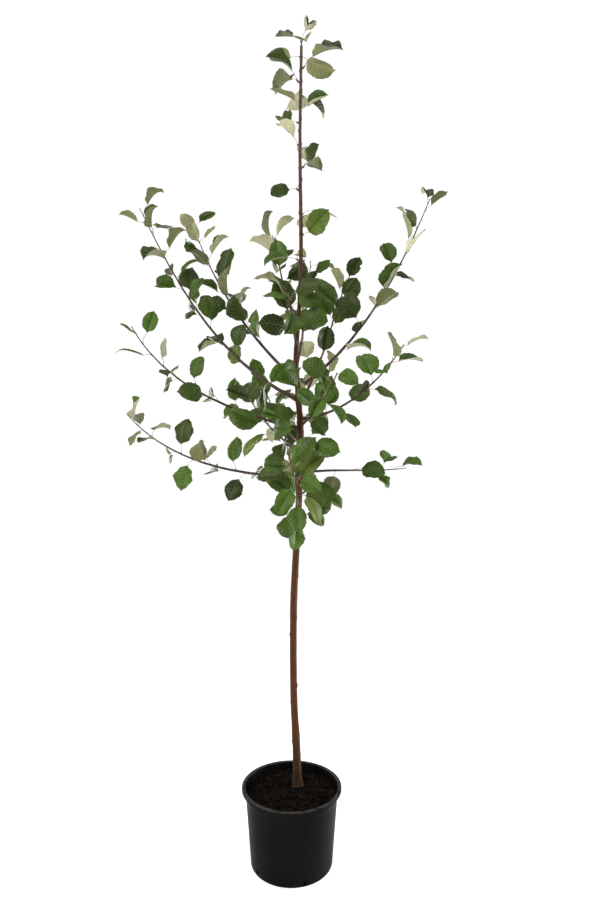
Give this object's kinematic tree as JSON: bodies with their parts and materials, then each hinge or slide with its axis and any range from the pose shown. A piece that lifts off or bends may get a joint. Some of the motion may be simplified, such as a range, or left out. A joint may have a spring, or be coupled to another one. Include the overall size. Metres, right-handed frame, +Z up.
{
  "type": "young apple tree in a nursery pot",
  "caption": "Slender young apple tree on a single leader, with upswept boughs and loose oval leaves, its root ball in a round black nursery pot.",
  "frame": {"origin": "centre of the flat underside of the pot", "axes": "+Z up along the trunk, -Y towards the front of the tree, +X to its right seen from the front"},
  "size_m": [0.9632, 0.6799, 2.3828],
  "materials": {
    "pot_plastic": "black moulded nursery pot, satin, lightly scuffed",
    "compost": "moist dark potting mix with bark chips and fibres",
    "bark": "smooth grey-brown young bark with lenticels and node scars",
    "young_bark": "red-brown shoots, slightly glossy",
    "foliage": "oval toothed leaves, mid green above and pale grey-green and downy below"
  },
  "bodies": {
    "root": {"bough_back_left": "young_bark", "bough_back_low": "young_bark", "bough_back_tall": "young_bark", "bough_front_left": "young_bark", "bough_front_low": "young_bark", "bough_front_right": "young_bark", "bough_front_upper": "young_bark", "bough_left_inner": "young_bark", "bough_left_low": "young_bark", "bough_left_middle": "young_bark", "bough_left_tall": "young_bark", "bough_left_upright": "young_bark", "bough_right_inner": "young_bark", "bough_right_low": "young_bark", "bough_right_middle": "young_bark", "bough_right_tall": "young_bark", "crest_leaves_1": "foliage", "crest_leaves_2": "foliage", "crest_leaves_3": "foliage", "crest_leaves_4": "foliage", "crest_leaves_5": "foliage", "crest_leaves_6": "foliage", "inner_leaves_1": "foliage", "inner_leaves_2": "foliage", "inner_leaves_3": "foliage", "inner_leaves_4": "foliage", "inner_leaves_5": "foliage", "inner_leaves_6": "foliage", "inner_leaves_7": "foliage", "leader_leaves_1": "foliage", "leader_leaves_2": "foliage", "leader_leaves_3": "foliage", "leader_leaves_4": "foliage", "leader_leaves_5": "foliage", "leader_leaves_6": "foliage", "leader_leaves_7": "foliage", "pot": "pot_plastic", "root_ball": "compost", "shoot_back_left": "foliage", "shoot_back_low": "foliage", "shoot_back_tall": "foliage", "shoot_front_left": "foliage", "shoot_front_low": "foliage", "shoot_front_right": "foliage", "shoot_front_upper": "foliage", "shoot_left_inner": "foliage", "shoot_left_low": "foliage", "shoot_left_middle": "foliage", "shoot_left_tall": "foliage", "shoot_left_upright": "foliage", "shoot_right_inner": "foliage", "shoot_right_low": "foliage", "shoot_right_middle": "foliage", "shoot_right_tall": "foliage", "top_leaves": "foliage", "trunk": "bark"}
  },
  "joints": []
}
